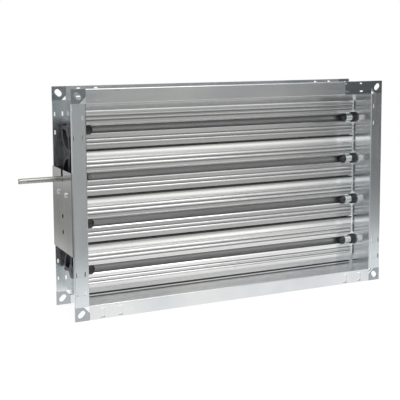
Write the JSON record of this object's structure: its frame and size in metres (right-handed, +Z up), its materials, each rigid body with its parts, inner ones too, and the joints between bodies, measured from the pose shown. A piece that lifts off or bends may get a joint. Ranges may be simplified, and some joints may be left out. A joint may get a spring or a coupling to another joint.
{
  "type": "volume control damper",
  "caption": "Rectangular duct damper: folded flanged sheet frame, opposed extruded blades coupled by toothed sectors, and a round drive shaft with an actuator plate",
  "frame": {"origin": "centre of the duct opening, in the plane of the front flange face", "axes": "+X across the duct to the right seen from the front, +Y along the duct from front to rear, +Z up"},
  "size_m": [0.606, 0.1, 0.34],
  "materials": {
    "galvanised_sheet": "satin",
    "blade_aluminium": "satin",
    "black_plastic": "matte",
    "black_rubber": "matte",
    "bright_steel": "satin"
  },
  "bodies": {
    "frame": {"top_channel": "galvanised_sheet", "bottom_channel": "galvanised_sheet", "left_channel": "galvanised_sheet", "right_channel": "galvanised_sheet", "front_top_left_bracket": "galvanised_sheet", "front_top_right_bracket": "galvanised_sheet", "front_bottom_left_bracket": "galvanised_sheet", "front_bottom_right_bracket": "galvanised_sheet", "rear_top_left_bracket": "galvanised_sheet", "rear_top_right_bracket": "galvanised_sheet", "rear_bottom_left_bracket": "galvanised_sheet", "rear_bottom_right_bracket": "galvanised_sheet", "actuator_plate": "galvanised_sheet", "plate_rivets": "bright_steel", "pivot_bushes_1": "black_plastic", "pivot_bushes_2": "black_plastic", "pivot_bushes_3": "black_plastic", "pivot_bushes_4": "black_plastic"},
    "blade_1_turning": {"blade_1": "blade_aluminium", "blade_1_edge_seals": "black_rubber", "blade_1_thrust_rings": "bright_steel", "blade_1_pivot_pins": "black_plastic", "gear_sector_1": "black_plastic"},
    "blade_2_turning": {"blade_2": "blade_aluminium", "blade_2_edge_seals": "black_rubber", "blade_2_thrust_rings": "bright_steel", "blade_2_pivot_pins": "black_plastic", "gear_sector_2": "black_plastic", "drive_shaft": "bright_steel"},
    "blade_3_turning": {"blade_3": "blade_aluminium", "blade_3_edge_seals": "black_rubber", "blade_3_thrust_rings": "bright_steel", "blade_3_pivot_pins": "black_plastic", "gear_sector_3": "black_plastic"},
    "blade_4_turning": {"blade_4": "blade_aluminium", "blade_4_edge_seals": "black_rubber", "blade_4_thrust_rings": "bright_steel", "blade_4_pivot_pins": "black_plastic", "gear_sector_4": "black_plastic"}
  },
  "joints": [
    {"name": "blade_2_turn", "type": "hinge", "parent": "frame", "child": "blade_2_turning", "pos_m": [0, 0.05, 0.0355], "axis": [1, 0, 0], "range_deg": [0, 90]},
    {"name": "blade_1_turn", "type": "hinge", "parent": "frame", "child": "blade_1_turning", "pos_m": [0, 0.05, 0.1065], "axis": [1, 0, 0], "range_deg": [-90, 0]},
    {"name": "blade_3_turn", "type": "hinge", "parent": "frame", "child": "blade_3_turning", "pos_m": [0, 0.05, -0.0355], "axis": [1, 0, 0], "range_deg": [-90, 0]},
    {"name": "blade_4_turn", "type": "hinge", "parent": "frame", "child": "blade_4_turning", "pos_m": [0, 0.05, -0.1065], "axis": [1, 0, 0], "range_deg": [0, 90]}
  ],
  "couplings": [
    {"joint": "blade_1_turn", "follows": "blade_2_turn", "ratio": -1},
    {"joint": "blade_3_turn", "follows": "blade_2_turn", "ratio": -1},
    {"joint": "blade_4_turn", "follows": "blade_2_turn", "ratio": 1}
  ]
}
